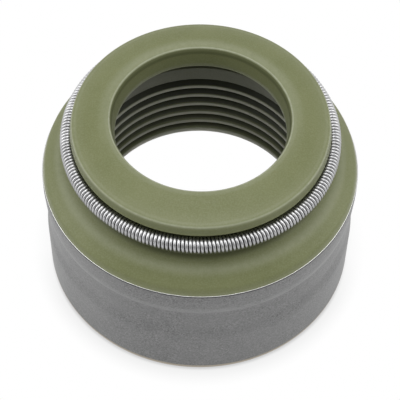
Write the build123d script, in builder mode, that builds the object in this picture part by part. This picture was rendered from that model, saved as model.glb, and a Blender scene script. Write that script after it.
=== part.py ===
"""Valve stem seal for a heavy engine: a moulded rubber body in a drawn steel case, with a garter spring.

Millimetres. Z is the axis of the seal, and the origin is the centre of the case's lower rim, on which it stands.
The seal is pushed down over the end of a valve guide, and the valve's stem runs through the lip at its top.
"""

from build123d import *
from math import cos, pi, sin
import os

os.makedirs("parts", exist_ok=True)

# Steel case
case_diameter = 18.3
case_height = 7.95
case_wall = 0.45
case_top_chamfer = 0.12
rim_inset = 0.1
rim_rise = 0.28

# Shallow groove rolled round the case: a long run-in below, a short flank above
crimp_bottom = 3.5
crimp_run_in = 0.9
crimp_top = 6.3
crimp_depth = 0.14
crimp_flank = 0.2

# Grip on the valve guide, inside the rubber
rib_count = 6
rib_diameter = 12.48
rib_height = 0.6
rib_pitch = 0.825
rib_crest = 0.3
land_depth = 0.16
land_length = 1.04
land_top_rise = 0.97
first_rib_drop = 0.51
sleeve_recess = 1.2
sleeve_toe = 0.35
sleeve_wall = 0.85

# Shoulder of the rubber, between the case and the neck
shoulder_share = 0.47
shoulder_rise = 0.97
ledge_rise = 0.52
neck_step = 0.18

# Neck and the groove in it
cavity_depth = 0.17
neck_wall = 0.52
groove_lip = 0.28
groove_lip_drop = 0.45
groove_floor_low = 0.24
groove_floor_high = 0.38

# Garter spring
turn_count = 228
bends_per_turn = 4
wire_width = 0.18
wire_depth = 0.09
coil_diameter = 0.86
spring_rise = 1.21
spring_seat_gap = 0.03
wire_end_gap = 0.05

# Head and the scraping lip in it
head_clearance = 0.19
head_overhang = 0.29
head_height = 0.66
head_taper = 0.1
head_edge_chamfer = 0.08
crown_rise = 0.32
lip_diameter = 9.7
lip_land = 0.24
lip_offset = 0.29
lip_back_rise = 1.25
bore_flare = 0.19
bore_edge_chamfer = 0.1

# Radii worked out from the sizes above
case_radius = case_diameter / 2
case_inner_radius = case_radius - case_wall
crimp_radius = case_radius - crimp_depth
rib_radius = rib_diameter / 2
trough_radius = rib_radius + rib_height
land_radius = rib_radius + land_depth
flange_hole_radius = land_radius + sleeve_wall
cavity_radius = land_radius + cavity_depth
groove_radius = cavity_radius + neck_wall
neck_radius = groove_radius + neck_step
spring_radius = groove_radius + spring_seat_gap + coil_diameter / 2
head_low_radius = groove_radius + head_overhang
head_top_radius = head_low_radius - head_taper
shoulder_foot_radius = case_radius - case_top_chamfer
shoulder_bend_radius = shoulder_foot_radius - shoulder_share * (shoulder_foot_radius - neck_radius)
lip_radius = lip_diameter / 2
bore_mouth_radius = lip_radius + bore_flare

# Heights worked out from the sizes above
flange_underside = case_height - case_wall
shoulder_bend_height = case_height + shoulder_rise
ledge_height = shoulder_bend_height + ledge_rise
spring_height = ledge_height + spring_rise
head_underside = spring_height + coil_diameter / 2 + head_clearance
head_shoulder = head_underside + head_height
seal_height = head_shoulder + crown_rise
lip_bottom = spring_height + lip_offset
land_top = case_height + land_top_rise
land_bottom = land_top - land_length
first_rib = land_bottom - first_rib_drop


def corner(sketch, radius, height):
    """The corner of a section that lies nearest to a radius and a height."""
    return sketch.vertices().sort_by_distance((radius, height))[0]


# Steel case: a straight wall with a rolled groove, and a flange turned in over the sleeve
with BuildPart() as steel_case:
    with BuildSketch(Plane.XZ) as case_section:
        with BuildLine():
            Polyline(
                (case_inner_radius, 0),
                (case_radius - rim_inset, 0),
                (case_radius, rim_rise),
                (case_radius, crimp_bottom),
                (crimp_radius, crimp_bottom + crimp_run_in),
                (crimp_radius, crimp_top - crimp_flank),
                (case_radius, crimp_top),
                (case_radius, case_height),
                (flange_hole_radius, case_height),
                (flange_hole_radius, flange_underside),
                (case_inner_radius, flange_underside),
                close=True,
            )
        make_face()
        chamfer(corner(case_section, case_radius, case_height), length=case_top_chamfer)
    revolve(axis=Axis.Z)

# Six sharp ribs that grip the guide, from the land down to the lead-in
rib_outline = []
for rib in range(rib_count):
    rib_middle = first_rib - rib * rib_pitch
    rib_outline += [
        (trough_radius, rib_middle + rib_pitch / 2),
        (rib_radius, rib_middle + rib_crest / 2),
        (rib_radius, rib_middle - rib_crest / 2),
    ]
lead_in_top = first_rib - (rib_count - 0.5) * rib_pitch

# Rubber body: one moulding, bonded round the case's flange and down the inside of its wall
with BuildPart() as rubber_body:
    with BuildSketch(Plane.XZ) as body_section:
        with BuildLine():
            Polyline(
                (case_inner_radius - sleeve_toe, sleeve_recess),
                (case_inner_radius, sleeve_recess),
                (case_inner_radius, flange_underside),
                (flange_hole_radius, flange_underside),
                (flange_hole_radius, case_height),
                (shoulder_foot_radius, case_height),
                (shoulder_bend_radius, shoulder_bend_height),
                (neck_radius, ledge_height),
                (groove_radius + groove_lip, spring_height - groove_lip_drop),
                (groove_radius, spring_height - groove_floor_low),
                (groove_radius, spring_height + groove_floor_high),
                (head_low_radius, head_underside),
                (head_top_radius, head_shoulder),
                (bore_mouth_radius, seal_height),
                (lip_radius, lip_bottom + lip_land),
                (lip_radius, lip_bottom),
                (cavity_radius, lip_bottom - lip_back_rise),
                (cavity_radius, land_top),
                (land_radius, land_top),
                (land_radius, land_bottom),
                *rib_outline,
                (trough_radius, lead_in_top),
                close=True,
            )
        make_face()
        chamfer(corner(body_section, head_top_radius, head_shoulder), length=head_edge_chamfer)
        chamfer(corner(body_section, bore_mouth_radius, seal_height), length=bore_edge_chamfer)
    revolve(axis=Axis.Z)


def wire_plane(step):
    """The plane of the wire's cut at one bend of the coil. Its X points away from the middle of the coil."""
    wire_share = 1 - wire_end_gap / (2 * pi * spring_radius)
    ring_angle = 2 * pi * wire_share * step / (turn_count * bends_per_turn)
    coil_angle = -2 * pi * step / bends_per_turn
    outward = Vector(cos(ring_angle), sin(ring_angle), 0)
    upward = Vector(0, 0, 1)
    from_middle = outward * cos(coil_angle) + upward * sin(coil_angle)
    along_wire = outward * sin(coil_angle) - upward * cos(coil_angle)
    middle = outward * spring_radius + upward * spring_height
    wire_back = coil_diameter / 2 - wire_depth
    return Plane(origin=middle + from_middle * wire_back, x_dir=from_middle, z_dir=along_wire)


# Garter spring: one wire wound into a close coil, bent round into a ring whose ends meet
with BuildPart() as garter_spring:
    for step in range(turn_count * bends_per_turn + 1):
        with BuildSketch(wire_plane(step)):
            Polygon((wire_depth, 0), (0, wire_width / 2), (0, -wire_width / 2), align=None)
    loft(ruled=True)

steel_case.part.label = "steel_case"
rubber_body.part.label = "rubber_body"
garter_spring.part.label = "garter_spring"
export_step(steel_case.part, "parts/steel_case.step")
export_step(rubber_body.part, "parts/rubber_body.step")
export_step(garter_spring.part, "parts/garter_spring.step")
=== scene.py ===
"""Valve stem seal on a pale floor, seen as in the photograph.

Sizes are written in millimetres and built in metres.
"""

import math

import bpy
from mathutils import Matrix, Vector, noise


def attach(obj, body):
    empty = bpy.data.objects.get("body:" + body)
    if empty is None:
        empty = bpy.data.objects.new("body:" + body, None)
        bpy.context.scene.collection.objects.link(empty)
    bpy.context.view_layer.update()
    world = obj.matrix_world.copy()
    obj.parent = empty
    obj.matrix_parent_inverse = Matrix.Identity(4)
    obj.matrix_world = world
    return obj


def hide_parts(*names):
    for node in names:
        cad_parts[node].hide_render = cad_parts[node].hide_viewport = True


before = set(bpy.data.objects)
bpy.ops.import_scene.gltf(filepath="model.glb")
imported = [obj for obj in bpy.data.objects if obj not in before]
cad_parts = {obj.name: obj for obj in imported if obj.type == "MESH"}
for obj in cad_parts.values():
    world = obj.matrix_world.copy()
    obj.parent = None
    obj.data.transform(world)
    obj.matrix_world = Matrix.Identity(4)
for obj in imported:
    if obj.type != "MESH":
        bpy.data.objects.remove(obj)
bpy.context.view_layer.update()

MM = 0.001

# How finely the shapes are cut. The crease angle is in degrees
TURNED_SEGMENTS = 240
ARC_STEP = math.radians(9)
RUBBER_LONGEST_RUN, CASE_LONGEST_RUN = 0.55, 0.45
CREASE_ANGLE = 50

# Sizes that the rubber and the steel case share
CASE_INNER_RADIUS, CASE_TOP = 8.7, 7.95
FLANGE_HOLE_RADIUS, FLANGE_UNDERSIDE = 7.25, 7.5

# The ribs that grip the valve guide. A crest reaches further below its rib's middle than above it
RIB_COUNT, TOP_RIB_MIDDLE, RIB_PITCH = 6, 7.37, 0.825
RIB_RADIUS, TROUGH_RADIUS = 6.24, 6.84
CREST_ABOVE, CREST_BELOW = 0.04, 0.15
CREST_TOP_FILLET, CREST_FOOT_FILLET, TROUGH_FILLET = 0.06, 0.09, 0.03

# The garter spring
TURN_COUNT, STEPS_PER_TURN, WIRE_SIDES = 228, 24, 10
SPRING_RADIUS, SPRING_HEIGHT, COIL_RADIUS, WIRE_RADIUS = 7.505, 10.585, 0.455, 0.09
# Its wire strays along the ring, in radians, and out of the coil. Each stray has a size, a number of waves
# round the ring, and two numbers that pick a line through the noise
RING_STRAY, COIL_STRAY = (0.0035, 40, 3.1, 0.7), (0.008, 30, 9.4, 2.2)

# Colours of the finishes, in linear light. Some stand in for painted light and shade: the rubber's
# highlight, its shade, the shade in the rib troughs, the grey sheen on the ribs and the land, a highlight
# and a dark line on the steel, and the shade on the spring's lower side
RUBBER_DARK, RUBBER_LIGHT = (0.163, 0.18, 0.074), (0.187, 0.204, 0.09)
RUBBER_BLOOM, RUBBER_HIGHLIGHT = (0.24, 0.256, 0.14), (0.38, 0.4, 0.29)
RUBBER_SHADE, TROUGH_SHADE = (0.07, 0.078, 0.03), (0.01, 0.013, 0.0)
CREST_GREY, LOWEST_RIB_GREY, LAND_GREY = (0.64, 0.64, 0.55), (0.85, 0.85, 0.75), (0.08, 0.08, 0.073)
STEEL_DARK, STEEL_LIGHT = (0.05, 0.051, 0.052), (0.31, 0.31, 0.309)
STEEL_MOTTLE, STEEL_STREAK = (0.15, 0.151, 0.153), (0.27, 0.27, 0.27)
STEEL_HIGHLIGHT, STEEL_SHADED = (0.36, 0.36, 0.36), (0.03, 0.03, 0.03)
STEEL_BARE, LOWER_RIM_TAN = (0.95, 0.95, 0.93), (0.5, 0.425, 0.32)
SPRING_DARK, SPRING_LIGHT = (0.49, 0.49, 0.495), (0.59, 0.59, 0.595)
SPRING_SHADE = (0.1, 0.1, 0.095)
FLOOR_PALE, WHITE = (0.85, 0.85, 0.84, 1.0), (1.0, 1.0, 1.0, 1.0)


def rounded(corners):
    """A closed outline in (radius, height). Each corner is (radius, height) or (radius, height, fillet)."""
    points = []
    count = len(corners)
    for index, item in enumerate(corners):
        here = Vector(item[:2])
        fillet = item[2] if len(item) > 2 else 0.0
        if fillet <= 0:
            points.append(here)
            continue
        back = (Vector(corners[index - 1][:2]) - here).normalized()
        ahead = (Vector(corners[(index + 1) % count][:2]) - here).normalized()
        half = back.angle(ahead) / 2
        reach = fillet / math.tan(half)
        middle = here + (back + ahead).normalized() * fillet / math.sin(half)
        first, last = here + back * reach, here + ahead * reach
        turn = math.pi - 2 * half
        steps = max(2, math.ceil(turn / ARC_STEP))
        for part in range(steps + 1):
            share = part / steps
            start, end = (first - middle).normalized(), (last - middle).normalized()
            mixed = (start * math.sin((1 - share) * turn) + end * math.sin(share * turn)) / math.sin(turn)
            points.append(middle + mixed * fillet)
    return points


def divided(points, longest):
    """The closed outline with every straight run cut into pieces no longer than a given length."""
    result = []
    for index, here in enumerate(points):
        ahead = points[(index + 1) % len(points)]
        cuts = max(1, math.ceil((ahead - here).length / longest))
        result += [here.lerp(ahead, cut / cuts) for cut in range(cuts)]
    return result


def mesh_object(name, vertices, faces):
    mesh = bpy.data.meshes.new(name)
    mesh.from_pydata(vertices, [], faces)
    mesh.update()
    mesh.validate()
    piece = bpy.data.objects.new(name, mesh)
    bpy.context.scene.collection.objects.link(piece)
    return piece


def shade_smooth(piece):
    piece.data.polygons.foreach_set("use_smooth", [True] * len(piece.data.polygons))


def turned(name, outline):
    """The outline turned once round Z. It is shaded smooth, and an edge that turns sharply stays crisp."""
    vertices = []
    for segment in range(TURNED_SEGMENTS):
        angle = 2 * math.pi * segment / TURNED_SEGMENTS
        along, across = math.cos(angle), math.sin(angle)
        for radius, height in outline:
            vertices.append((radius * along * MM, radius * across * MM, height * MM))
    faces = []
    count = len(outline)
    for segment in range(TURNED_SEGMENTS):
        here, ahead = segment * count, ((segment + 1) % TURNED_SEGMENTS) * count
        for index in range(count):
            after = (index + 1) % count
            faces.append((here + index, ahead + index, ahead + after, here + after))
    piece = mesh_object(name, vertices, faces)
    shade_smooth(piece)
    piece.data.set_sharp_from_angle(angle=math.radians(CREASE_ANGLE))
    return piece


class Nodes:
    """A short way to write a node tree."""

    def __init__(self, tree):
        self.tree = tree

    def add(self, kind, inputs=(), **settings):
        node = self.tree.nodes.new(kind)
        for key, value in settings.items():
            setattr(node, key, value)
        for key, value in dict(inputs).items():
            self.put(node, key, value)
        return node

    def put(self, node, key, value):
        socket = node.inputs[key]
        if isinstance(value, bpy.types.NodeSocket):
            self.tree.links.new(value, socket)
        elif isinstance(value, bpy.types.Node):
            self.tree.links.new(value.outputs[0], socket)
        else:
            socket.default_value = value

    def noise(self, place, scale, detail, roughness):
        """Soft noise in three dimensions, which mostly lies between 0.3 and 0.7."""
        inputs = {"Vector": place, "Scale": scale, "Detail": detail, "Roughness": roughness}
        return self.add("ShaderNodeTexNoise", inputs).outputs["Fac"]

    def math(self, operation, first, second):
        return self.add("ShaderNodeMath", {0: first, 1: second}, operation=operation).outputs[0]

    def times(self, first, *others):
        """The product of two or more values."""
        for other in others:
            first = self.math("MULTIPLY", first, other)
        return first

    def span(self, value, low, high, to_low=0.0, to_high=1.0):
        """The value carried in proportion from one range to another, and held at the ends."""
        inputs = {"Value": value, "From Min": low, "From Max": high, "To Min": to_low, "To Max": to_high}
        return self.add("ShaderNodeMapRange", inputs).outputs["Result"]

    def smooth(self, value, start, full):
        """Zero at the first value and one at the second, with a smooth passage between them."""
        inputs = {"Value": value, "From Min": start, "From Max": full}
        return self.add("ShaderNodeMapRange", inputs, interpolation_type="SMOOTHSTEP").outputs["Result"]

    def band(self, value, low, high, soft):
        """One between two values, falling smoothly to nothing over a soft margin outside them."""
        return self.times(self.smooth(value, low - soft, low), self.smooth(value, high + soft, high))

    def mix(self, share, first, second):
        """The first colour with the given share of the second."""
        node = self.add("ShaderNodeMix", data_type="RGBA", blend_type="MIX")
        self.put(node, 0, share)
        for index, value in ((6, first), (7, second)):
            if isinstance(value, tuple):
                value = (*value, 1.0)
            self.put(node, index, value)
        return node.outputs[2]

    def bump(self, height, strength, distance, below=None):
        """A bump with the given distance in metres, laid over another one where that is given."""
        inputs = {"Strength": strength, "Distance": distance, "Height": height}
        if below is not None:
            inputs["Normal"] = below
        return self.add("ShaderNodeBump", inputs)


def new_material(name):
    material = bpy.data.materials.new(name)
    material.use_nodes = True
    tree = material.node_tree
    tree.nodes.clear()
    nodes = Nodes(tree)
    output = nodes.add("ShaderNodeOutputMaterial")
    return material, nodes, output


def surface_place(nodes):
    """The place on the surface, its distance from the seal's axis, its Y and its height, in millimetres."""
    place = nodes.add("ShaderNodeTexCoord").outputs["Object"]
    scaled = nodes.add("ShaderNodeVectorMath", {0: place, "Scale": 1 / MM}, operation="SCALE")
    place = scaled.outputs["Vector"]
    parts = nodes.add("ShaderNodeSeparateXYZ", {0: place})
    flat = nodes.add("ShaderNodeCombineXYZ", {0: parts.outputs["X"], 1: parts.outputs["Y"]})
    radius = nodes.add("ShaderNodeVectorMath", {0: flat}, operation="LENGTH").outputs["Value"]
    return place, radius, parts.outputs["Y"], parts.outputs["Z"]


def near(nodes, radius, height, ring_radius, ring_height, width):
    """One on a ring round the axis, falling smoothly to nothing at the given width from it."""
    gap = nodes.add("ShaderNodeCombineXYZ", {
        0: nodes.math("SUBTRACT", radius, ring_radius),
        1: nodes.math("SUBTRACT", height, ring_height),
    })
    reach = nodes.add("ShaderNodeVectorMath", {0: gap}, operation="LENGTH").outputs["Value"]
    return nodes.smooth(reach, width, 0.0)


# Rings of painted highlight on the rubber: radius, height, width and strength
HIGHLIGHT_RINGS = (
    (5.13, 12.228, 0.1, 1.0),  # the mouth's edge
    (5.25, 12.23, 0.3, 0.34),  # the skin beside it
    (7.237, 11.857, 0.11, 0.85),  # the head's outer edge
    (7.05, 11.93, 0.2, 0.28),  # the skin inside that edge
    (7.28, 11.85, 0.25, 0.15),  # the skin on both sides of it
    (4.85, 10.95, 0.07, 0.3),  # the lip's lower edge
    (6.4, 8.92, 0.08, 0.3),  # the land's upper edge
    (9.05, 7.98, 0.25, 0.3),  # the shoulder's foot
    (8.12, 9.02, 0.5, 0.34),  # the shoulder's bend
)
# The wide painted sheen round the mouth: radius, height and width
MOUTH_SHEEN_RING = (5.36, 12.235, 0.62)
# Two places along Y, and the sheen's strength at each
MOUTH_SHEEN_BY_Y = (-3.0, 4.0, 0.08, 0.42)

# Heights at which a patch of painted light or shade on the rubber starts and is full
RIM_HEIGHTS, MOUTH_HEIGHTS = (11.8, 11.86), (11.85, 11.95)
NECK_HEIGHTS, GRIP_HEIGHTS = (11.3, 11.2), (7.95, 7.85)
LOWEST_RIB_TOP, LOWEST_RIB_FOOT = (3.35, 3.15), (2.7, 2.8)
# Radii at which one starts and is full
RIM_RADII, MOUTH_RADII, WALL_RADII = (6.3, 7.1), (5.7, 5.1), (5.1, 5.06)
SIDE_RADII, NECK_OUTSIDE, NECK_INSIDE = (7.2, 7.3), (7.68, 7.35), (6.9, 7.0)
BORE_RADII, CREST_RADII, LAND_RADII = (7.2, 7.0), (6.31, 6.24), (6.75, 6.6)
# Bands of height: lower end, upper end and soft margin
WALL_BAND, LINE_BAND = (11.03, 12.13, 0.06), (11.92, 11.98, 0.12)
SIDE_BAND, LAND_BAND = (11.45, 11.65, 0.15), (7.9, 9.2, 0.05)
# Strengths, and those that change with height: two heights and the strength at each
HEAD_SHEEN, LINE_DEPTH, SIDE_DEPTH = 0.1, 0.34, 0.3
LOWEST_RIB_SHEEN, LAND_SHADE_AND_SHEEN = 0.7, 0.55
WALL_DEPTH, NECK_DEPTH = (11.75, 12.1, 0.34, 0.6), (10.6, 10.2, 0.4, 0.85)
CREST_SHEEN, TROUGH_SHADE_DEPTH = (3.2, 6.9, 0.7, 0.82), (3.2, 6.9, 0.6, 0.95)
# The radius at which the painted shade in the troughs starts, and those at which it is full at two heights
TROUGH_SHADE_START, TROUGH_SHADE_FULL = 6.25, (3.2, 6.9, 6.48, 6.35)


def rubber_material():
    material, nodes, output = new_material("green_rubber")
    place, radius, along_y, height = surface_place(nodes)
    clouds = nodes.noise(place, scale=0.42, detail=3.0, roughness=0.55)
    grain = nodes.noise(place, scale=12.0, detail=2.0, roughness=0.6)
    skin = nodes.noise(place, scale=3.2, detail=3.0, roughness=0.55)
    colour = nodes.mix(nodes.span(clouds, 0.3, 0.7), RUBBER_DARK, RUBBER_LIGHT)
    colour = nodes.mix(nodes.span(grain, 0.4, 0.7, 0.0, 0.5), colour, RUBBER_BLOOM)

    # Painted sheen makes the skin paler beside the head's edges and on the shoulder's bend,
    # and painted highlights make it palest on the edges themselves
    rim = nodes.times(nodes.smooth(radius, *RIM_RADII), nodes.smooth(height, *RIM_HEIGHTS))
    mouth = nodes.times(nodes.smooth(radius, *MOUTH_RADII), nodes.smooth(height, *MOUTH_HEIGHTS))
    pale = nodes.times(nodes.math("MAXIMUM", rim, mouth), HEAD_SHEEN)
    patchy = nodes.span(skin, 0.25, 0.7, 0.6, 1.0)
    for ring_radius, ring_height, width, strength in HIGHLIGHT_RINGS:
        edge = nodes.times(near(nodes, radius, height, ring_radius, ring_height, width), patchy, strength)
        pale = nodes.math("MAXIMUM", pale, edge)
    # The painted sheen round the mouth is stronger on the side that lies towards +Y
    mouth_sheen = nodes.times(near(nodes, radius, height, *MOUTH_SHEEN_RING), nodes.span(along_y, *MOUTH_SHEEN_BY_Y), patchy)
    pale = nodes.math("MAXIMUM", pale, mouth_sheen)
    colour = nodes.mix(pale, colour, RUBBER_HIGHLIGHT)

    # Painted shade darkens the scraping bore, most near its mouth, with a thin darker line round it
    wall = nodes.times(nodes.band(height, *WALL_BAND), nodes.smooth(radius, *WALL_RADII))
    line = nodes.times(nodes.band(height, *LINE_BAND), LINE_DEPTH)
    depth = nodes.math("ADD", nodes.span(height, *WALL_DEPTH), line)
    colour = nodes.mix(nodes.times(wall, depth), colour, RUBBER_SHADE)
    # Painted shade also darkens the head's side and, more so, the neck behind the spring
    side = nodes.times(nodes.band(height, *SIDE_BAND), nodes.smooth(radius, *SIDE_RADII), SIDE_DEPTH)
    colour = nodes.mix(side, colour, RUBBER_SHADE)
    neck = nodes.times(
        nodes.span(height, *NECK_DEPTH),
        nodes.smooth(height, *NECK_HEIGHTS),
        nodes.smooth(radius, *NECK_OUTSIDE),
        nodes.smooth(radius, *NECK_INSIDE),
    )
    colour = nodes.mix(neck, colour, RUBBER_SHADE)

    # Painted sheen greys the ribs' crests, and painted shade lies dark between them, weaker lower down
    bore = nodes.smooth(radius, *BORE_RADII)
    grip = nodes.times(nodes.smooth(height, *GRIP_HEIGHTS), bore)
    crest = nodes.times(grip, nodes.smooth(radius, *CREST_RADII), nodes.span(height, *CREST_SHEEN))
    colour = nodes.mix(crest, colour, CREST_GREY)
    trough = nodes.times(grip, nodes.smooth(radius, TROUGH_SHADE_START, nodes.span(height, *TROUGH_SHADE_FULL)))
    colour = nodes.mix(nodes.times(trough, nodes.span(height, *TROUGH_SHADE_DEPTH)), colour, TROUGH_SHADE)
    # Painted sheen makes the lowest rib the palest, and painted shade with a grey sheen
    # makes the smooth land above the ribs dark grey
    lowest_rib = nodes.times(
        nodes.smooth(height, *LOWEST_RIB_TOP),
        nodes.smooth(height, *LOWEST_RIB_FOOT),
        bore,
        LOWEST_RIB_SHEEN,
    )
    colour = nodes.mix(lowest_rib, colour, LOWEST_RIB_GREY)
    land = nodes.times(nodes.band(height, *LAND_BAND), nodes.smooth(radius, *LAND_RADII), LAND_SHADE_AND_SHEEN)
    colour = nodes.mix(land, colour, LAND_GREY)

    rough = nodes.span(skin, 0.3, 0.7, 0.36, 0.48)
    bump = nodes.bump(grain, strength=0.5, distance=0.00001)
    bump = nodes.bump(skin, strength=0.3, distance=0.00002, below=bump)
    shader = nodes.add("ShaderNodeBsdfPrincipled", {
        "Base Color": colour, "Roughness": rough, "Normal": bump, "Specular IOR Level": 0.3, "IOR": 1.5,
        "Sheen Weight": 0.1, "Sheen Roughness": 0.35,
    })
    nodes.put(output, "Surface", shader)
    return material


# What a place on the case is multiplied by along X, Y and Z, so that the streaks run round the case
STREAK_SCALE = (0.8, 0.8, 4.5)
# Bands of height on the case: lower end, upper end and soft margin
GROOVE_HIGHLIGHT_BAND, SHADED_BAND = (6.28, 6.36, 0.4), (7.87, 7.93, 0.015)
# Heights at which its bare top edge and its tan lower rim start and are full
BARE_HEIGHTS, LOWER_RIM_TAN_HEIGHTS = (7.937, 7.946), (0.42, 0.33)
SHADED_DEPTH, LOWER_RIM_TAN_DEPTH = 0.9, 0.85


def steel_material():
    material, nodes, output = new_material("case_steel")
    place, _, _, height = surface_place(nodes)
    speckle = nodes.noise(place, scale=10.0, detail=3.0, roughness=0.75)
    mottle = nodes.noise(place, scale=1.1, detail=4.0, roughness=0.6)
    blotch = nodes.noise(place, scale=0.25, detail=2.0, roughness=0.5)
    squeezed = nodes.add("ShaderNodeVectorMath", {0: place, 1: STREAK_SCALE}, operation="MULTIPLY")
    streak = nodes.noise(squeezed.outputs["Vector"], scale=1.6, detail=3.0, roughness=0.6)
    colour = nodes.mix(nodes.span(speckle, 0.3, 0.7), STEEL_DARK, STEEL_LIGHT)
    colour = nodes.mix(nodes.span(mottle, 0.4, 0.65, 0.0, 0.4), colour, STEEL_MOTTLE)
    colour = nodes.mix(nodes.span(streak, 0.55, 0.75, 0.0, 0.35), colour, STEEL_STREAK)
    colour = nodes.mix(nodes.span(blotch, 0.4, 0.65, 0.0, 0.2), colour, STEEL_STREAK)
    # A painted highlight runs along the groove's upper edge
    groove_highlight = nodes.times(nodes.band(height, *GROOVE_HIGHLIGHT_BAND), nodes.span(mottle, 0.3, 0.7, 0.1, 0.45))
    colour = nodes.mix(groove_highlight, colour, STEEL_HIGHLIGHT)
    # The top edge is bare, over a thin dark line of painted shade, and the lower rim is tan
    colour = nodes.mix(nodes.times(nodes.band(height, *SHADED_BAND), SHADED_DEPTH), colour, STEEL_SHADED)
    bare = nodes.smooth(height, *BARE_HEIGHTS)
    colour = nodes.mix(bare, colour, STEEL_BARE)
    colour = nodes.mix(nodes.times(nodes.smooth(height, *LOWER_RIM_TAN_HEIGHTS), LOWER_RIM_TAN_DEPTH), colour, LOWER_RIM_TAN)
    rough = nodes.span(speckle, 0.3, 0.7, 0.34, 0.5)
    metallic = nodes.span(bare, 0.0, 1.0, 0.35, 1.0)
    bump = nodes.bump(speckle, strength=0.6, distance=0.00002)
    bump = nodes.bump(mottle, strength=0.4, distance=0.00006, below=bump)
    shader = nodes.add("ShaderNodeBsdfPrincipled", {
        "Base Color": colour, "Roughness": rough, "Normal": bump, "Metallic": metallic,
    })
    nodes.put(output, "Surface", shader)
    return material


# Heights at which painted shade starts to darken the spring and does so fully, and how much
SPRING_SHADE_HEIGHTS, SPRING_SHADE_DEPTH = (10.9, 10.45), 0.48


def spring_material():
    material, nodes, output = new_material("spring_steel")
    place, _, _, height = surface_place(nodes)
    drawn = nodes.noise(place, scale=12.0, detail=2.0, roughness=0.5)
    patch = nodes.noise(place, scale=0.9, detail=2.0, roughness=0.5)
    colour = nodes.mix(nodes.span(patch, 0.35, 0.65), SPRING_DARK, SPRING_LIGHT)
    # Painted shade darkens the lower side of the turns
    lower_shade = nodes.times(nodes.smooth(height, *SPRING_SHADE_HEIGHTS), SPRING_SHADE_DEPTH)
    colour = nodes.mix(lower_shade, colour, SPRING_SHADE)
    rough = nodes.span(drawn, 0.3, 0.7, 0.3, 0.4)
    shader = nodes.add("ShaderNodeBsdfPrincipled", {
        "Base Color": colour, "Roughness": rough, "Metallic": 1.0,
    })
    nodes.put(output, "Surface", shader)
    return material


# Rubber body: its section from the sleeve's toe up the outside, over the head and down the bore
sleeve = [
    (8.3, 1.2, 0.1), (CASE_INNER_RADIUS, 1.2, 0.1), (CASE_INNER_RADIUS, FLANGE_UNDERSIDE),
    (FLANGE_HOLE_RADIUS, FLANGE_UNDERSIDE), (FLANGE_HOLE_RADIUS, CASE_TOP),
]
shoulder = [(9.11, CASE_TOP, 0.02), (8.98, 8.4, 0.4), (8.2, 9.0, 0.9), (7.27, 9.44, 0.12)]
spring_groove = [(7.37, 10.11, 0.06), (7.045, 10.35, 0.1), (7.045, 11.03, 0.15)]
head = [
    (7.37, 11.26, 0.12), (7.258, 11.875, 0.1), (7.07, 11.93, 0.4), (6.5, 12.06, 3.0), (5.75, 12.21, 1.0),
    (5.45, 12.236, 0.4), (5.09, 12.232, 0.1),
]
scraping_bore = [(4.98, 11.95, 0.1), (4.85, 11.18, 0.03), (4.85, 10.94, 0.03)]
relief_and_land = [(6.57, 9.69, 0.25), (6.57, 8.92, 0.1), (6.40, 8.92, 0.04), (6.40, 7.88, 0.05)]
ribs = []
for rib in range(RIB_COUNT):
    rib_middle = TOP_RIB_MIDDLE - rib * RIB_PITCH
    ribs += [
        (TROUGH_RADIUS, rib_middle + RIB_PITCH / 2, TROUGH_FILLET),
        (RIB_RADIUS, rib_middle + CREST_ABOVE, CREST_TOP_FILLET),
        (RIB_RADIUS, rib_middle - CREST_BELOW, CREST_FOOT_FILLET),
    ]
# The lowest crest ends in these corners instead of its own last one
lead_in = [(RIB_RADIUS, 3.07, 0.05), (6.3, 2.95, 0.05), (TROUGH_RADIUS, 2.75, 0.06)]
rubber_outline = rounded([
    *sleeve, *shoulder, *spring_groove, *head, *scraping_bore, *relief_and_land, *ribs[:-1], *lead_in,
])
rubber = turned("rubber_body_skin", divided(rubber_outline, RUBBER_LONGEST_RUN))

# Steel case: its section from the lower rim up the outside, over the groove and in along the flange
lower_rim = [(CASE_INNER_RADIUS, 0.0, 0.08), (9.05, 0.0, 0.08), (9.14, 0.28, 0.2)]
rolled_groove = [(9.14, 3.5, 2.5), (9.01, 4.4, 2.5), (9.01, 6.1, 0.5), (9.1, 6.3, 0.5)]
top_edge = [(9.15, 7.3, 1.0), (9.14, CASE_TOP, 0.05)]
flange = [
    (FLANGE_HOLE_RADIUS, CASE_TOP), (FLANGE_HOLE_RADIUS, FLANGE_UNDERSIDE),
    (CASE_INNER_RADIUS, FLANGE_UNDERSIDE),
]
case_outline = rounded([*lower_rim, *rolled_groove, *top_edge, *flange])
case = turned("steel_case_shell", divided(case_outline, CASE_LONGEST_RUN))

# Garter spring: one round wire, wound close and bent round into a ring
total_steps = TURN_COUNT * STEPS_PER_TURN


def stray(share, size, waves, across, up):
    """How far the wire strays at this share of its length. It is the same on every run."""
    return size * noise.noise(Vector((waves * share, across, up)))


def wire_point(step):
    """A point on the middle of the wire."""
    share = step / total_steps
    ring_angle = 2 * math.pi * share + stray(share, *RING_STRAY)
    coil_angle = -2 * math.pi * step / STEPS_PER_TURN
    reach = COIL_RADIUS - WIRE_RADIUS + stray(share, *COIL_STRAY)
    radius = SPRING_RADIUS + reach * math.cos(coil_angle)
    height = SPRING_HEIGHT + reach * math.sin(coil_angle)
    return Vector((radius * math.cos(ring_angle), radius * math.sin(ring_angle), height))


def coil_centre(step):
    """The middle of the coil at the same step of the wire, with no stray."""
    angle = 2 * math.pi * step / total_steps
    return Vector((SPRING_RADIUS * math.cos(angle), SPRING_RADIUS * math.sin(angle), SPRING_HEIGHT))


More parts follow.
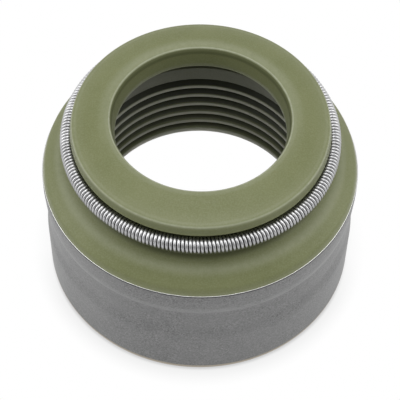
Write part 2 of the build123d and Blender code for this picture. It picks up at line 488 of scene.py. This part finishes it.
wire_vertices, wire_faces = [], []
for step in range(total_steps + 1):
    here = wire_point(step)
    along = (wire_point(step + 0.5) - wire_point(step - 0.5)).normalized()
    outward = here - coil_centre(step)
    outward = (outward - along * outward.dot(along)).normalized()
    side = along.cross(outward)
    for index in range(WIRE_SIDES):
        angle = 2 * math.pi * index / WIRE_SIDES
        point = here + (outward * math.cos(angle) + side * math.sin(angle)) * WIRE_RADIUS
        wire_vertices.append(tuple(point * MM))
for step in range(total_steps):
    this_ring, next_ring = step * WIRE_SIDES, (step + 1) * WIRE_SIDES
    for index in range(WIRE_SIDES):
        after = (index + 1) % WIRE_SIDES
        wire_faces.append((this_ring + index, this_ring + after, next_ring + after, next_ring + index))
# The flat ends of the wire
wire_faces.append(tuple(reversed(range(WIRE_SIDES))))
wire_faces.append(tuple(range(total_steps * WIRE_SIDES, (total_steps + 1) * WIRE_SIDES)))
spring = mesh_object("garter_spring_coil", wire_vertices, wire_faces)
shade_smooth(spring)

for piece, node, slot, material in (
    (rubber, "rubber_body", "green_rubber", rubber_material()),
    (case, "steel_case", "case_steel", steel_material()),
    (spring, "garter_spring", "spring_steel", spring_material()),
):
    piece.data.materials.append(material)
    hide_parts(node)
    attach(piece, "root")
    for material_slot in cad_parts[node].material_slots:
        material_slot.material = material

# Half the floor's side, in metres
FLOOR_REACH = 0.6
# Two soft shadows: how far each reaches, in metres, and the brightness that it leaves where it is darkest
CLOSE_SHADOW, WIDE_SHADOW = (0.0002, 0.75), (0.0013, 0.85)
SHADOW_SAMPLES = 16
# The openness at which a shadow is darkest, and at which it ends
SHADOW_OPENNESS = (0.5, 1.0)
# The radius that they lie outside, and two places along Y with their strength at each
SHADOW_RADIUS, SHADOW_BY_Y = 8.9, (-1.0, -4.5, 0.4, 1.0)


def floor_material():
    """White to the camera and in reflections, with a soft shadow round the case that is weaker at the back.

    Light that the object gathers comes from a plain pale floor, and seen from below the floor is clear.
    """
    material, nodes, output = new_material("pale_floor")
    _, radius, along_y, _ = surface_place(nodes)
    shades = []
    for distance, darkest in (CLOSE_SHADOW, WIDE_SHADOW):
        openness = nodes.add("ShaderNodeAmbientOcclusion", {"Distance": distance}, samples=SHADOW_SAMPLES)
        shades.append(nodes.span(openness.outputs["AO"], *SHADOW_OPENNESS, darkest, 1.0))
    shade = nodes.times(*shades)
    outside = nodes.math("GREATER_THAN", radius, SHADOW_RADIUS)
    outside = nodes.times(outside, nodes.span(along_y, *SHADOW_BY_Y))
    bright = nodes.math("ADD", nodes.times(shade, outside), nodes.math("SUBTRACT", 1.0, outside))
    shown = nodes.add("ShaderNodeEmission", {"Strength": bright, "Color": WHITE})
    matt = nodes.add("ShaderNodeBsdfDiffuse", {"Color": FLOOR_PALE})
    path = nodes.add("ShaderNodeLightPath")
    seen = nodes.math("MAXIMUM", path.outputs["Is Camera Ray"], path.outputs["Is Glossy Ray"])
    seen = nodes.math("MAXIMUM", seen, path.outputs["Is Transmission Ray"])
    top = nodes.add("ShaderNodeMixShader", {0: seen, 1: matt, 2: shown})
    clear = nodes.add("ShaderNodeBsdfTransparent")
    below = nodes.add("ShaderNodeNewGeometry").outputs["Backfacing"]
    nodes.put(output, "Surface", nodes.add("ShaderNodeMixShader", {0: below, 1: top, 2: clear}))
    return material


floor_corners = [(x * FLOOR_REACH, y * FLOOR_REACH, 0) for x, y in ((-1, -1), (1, -1), (1, 1), (-1, 1))]
floor = mesh_object("pale_floor", floor_corners, [(0, 1, 2, 3)])
floor.data.materials.append(floor_material())

# A light tent round the seal. The camera sees it white, and gloss mirrors it white but dark at the front.
# Rough surfaces gather less light from it, and a little more from its front than from elsewhere.
# Its front starts and is full at these values of the direction's Y.
FRONT_BY_Y = (-0.15, -0.85)
GATHERED_FRONT, GATHERED_ELSEWHERE = 0.6, 0.42
MIRRORED_FRONT, MIRRORED_ELSEWHERE = 0.3, 1.0

world = bpy.data.worlds.new("studio")
bpy.context.scene.world = world
world.use_nodes = True
world.node_tree.nodes.clear()
sky = Nodes(world.node_tree)
path = sky.add("ShaderNodeLightPath")
aim = sky.add("ShaderNodeSeparateXYZ", {0: sky.add("ShaderNodeTexCoord").outputs["Generated"]})
front = sky.smooth(aim.outputs["Y"], *FRONT_BY_Y)
gathered = sky.span(front, 0.0, 1.0, GATHERED_ELSEWHERE, GATHERED_FRONT)
mirrored = sky.span(front, 0.0, 1.0, MIRRORED_ELSEWHERE, MIRRORED_FRONT)
strength = sky.add("ShaderNodeMix", {0: path.outputs["Is Glossy Ray"], 2: gathered, 3: mirrored}).outputs[0]
seen = sky.math("MAXIMUM", path.outputs["Is Camera Ray"], path.outputs["Is Transmission Ray"])
strength = sky.add("ShaderNodeMix", {0: seen, 2: strength, 3: 1.0}).outputs[0]
tent = sky.add("ShaderNodeBackground", {"Color": WHITE, "Strength": strength})
sky.add("ShaderNodeOutputWorld", {"Surface": tent})

SEAL_MIDDLE = (0, 0, 6)


def soft_light(name, place, size, power):
    """A square soft light that faces the seal. Place and size are in millimetres, power in watts."""
    lamp = bpy.data.lights.new(name, "AREA")
    lamp.shape = "SQUARE"
    lamp.size = size * MM
    lamp.energy = power
    holder = bpy.data.objects.new(name, lamp)
    bpy.context.scene.collection.objects.link(holder)
    holder.location = Vector(place) * MM
    holder.rotation_euler = (Vector(SEAL_MIDDLE) * MM - holder.location).to_track_quat("-Z", "Y").to_euler()


soft_light("light_top", place=(0, 0, 90), size=55, power=0.0225)
soft_light("light_left", place=(-75, 0, 50), size=60, power=0.021)
soft_light("light_right", place=(75, 0, 50), size=60, power=0.0185)

# The camera stands in front of the seal and looks down on it. The angles are in degrees
CAMERA_PLACE = (0, -52.05, 77.32)
CAMERA_TURN, CAMERA_DOWN, CAMERA_ROLL = -0.0595, 54.551, 0.967

lens = bpy.data.cameras.new("camera")
lens.lens = 134.505
lens.sensor_width = 36.0
lens.shift_x = -0.00125
lens.shift_y = 0.00125
lens.clip_start = 0.001
lens.clip_end = 10.0
camera = bpy.data.objects.new("camera", lens)
bpy.context.scene.collection.objects.link(camera)
turn = (
    Matrix.Rotation(math.radians(CAMERA_TURN), 4, "Z")
    @ Matrix.Rotation(math.radians(90 - CAMERA_DOWN), 4, "X")
    @ Matrix.Rotation(math.radians(CAMERA_ROLL), 4, "Z")
)
camera.matrix_world = Matrix.Translation(Vector(CAMERA_PLACE) * MM) @ turn
bpy.context.scene.camera = camera
bpy.context.scene.view_settings.view_transform = "Standard"
